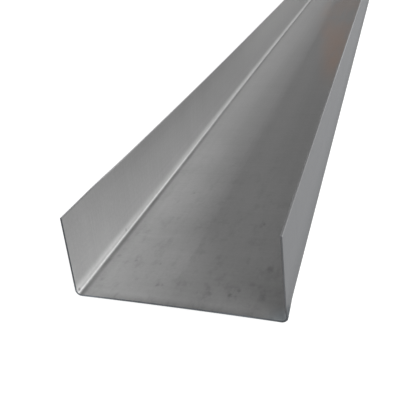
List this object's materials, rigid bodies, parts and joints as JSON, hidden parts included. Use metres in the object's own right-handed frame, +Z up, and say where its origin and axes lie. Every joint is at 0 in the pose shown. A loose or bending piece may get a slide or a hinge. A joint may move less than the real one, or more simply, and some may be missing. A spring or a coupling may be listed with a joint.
{
  "type": "steel framing track",
  "caption": "Plain U-shaped steel framing track with a flat web and upright legs, fixed to a floor or ceiling to hold the ends of wall studs.",
  "frame": {"origin": "middle of the web's underside, half way along the track", "axes": "+X across the web, +Y along the track away from the end that the picture shows, +Z up the legs"},
  "size_m": [0.0904, 3.048, 0.0381],
  "materials": {
    "galvanised_steel": "dull zinc coating, soft blurred reflections, small dark specks near one end"
  },
  "bodies": {
    "root": {"track": "galvanised_steel"}
  },
  "joints": []
}
